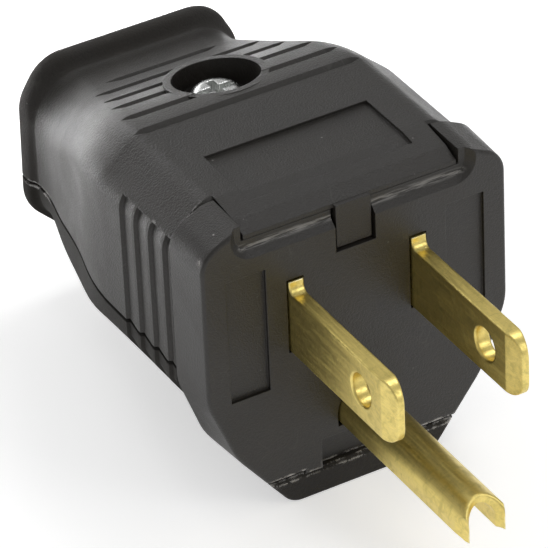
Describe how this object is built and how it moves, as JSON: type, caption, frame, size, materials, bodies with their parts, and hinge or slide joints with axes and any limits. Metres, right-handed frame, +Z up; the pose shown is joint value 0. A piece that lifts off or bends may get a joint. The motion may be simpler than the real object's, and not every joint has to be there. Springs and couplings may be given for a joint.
{
  "type": "grounded three-prong plug",
  "caption": "Grounded power plug: tapered split housing with grip grooves, flat brass blades, an arched ground pin, a cover held by a sunk screw and a collared cord inlet.",
  "frame": {"origin": "middle of the bottom of the whole plug's box, on the level that the housing's flat base stands on", "axes": "-Y out of the face along the blades, +Y to the cord inlet, +Z up to the cover and its screw, +X to the right seen from the face"},
  "size_m": [0.0316, 0.0647, 0.0315],
  "materials": {
    "housing_plastic": "satin black moulded nylon with a fine grain",
    "face_plastic": "satin black moulded nylon, slightly smoother than the shells",
    "blade_brass": "stamped brass, brushed along its length",
    "screw_brass": "turned brass",
    "screw_zinc": "bright zinc plate",
    "screw_green": "green coat on steel"
  },
  "bodies": {
    "root": {"face_body": "face_plastic", "top_cover": "housing_plastic", "bottom_shell": "housing_plastic", "hot_blade": "blade_brass", "neutral_blade": "blade_brass", "ground_pin": "blade_brass", "hot_terminal_screw": "screw_brass", "neutral_terminal_screw": "screw_zinc", "ground_terminal_screw": "screw_green", "cover_screw": "screw_zinc"}
  },
  "joints": []
}
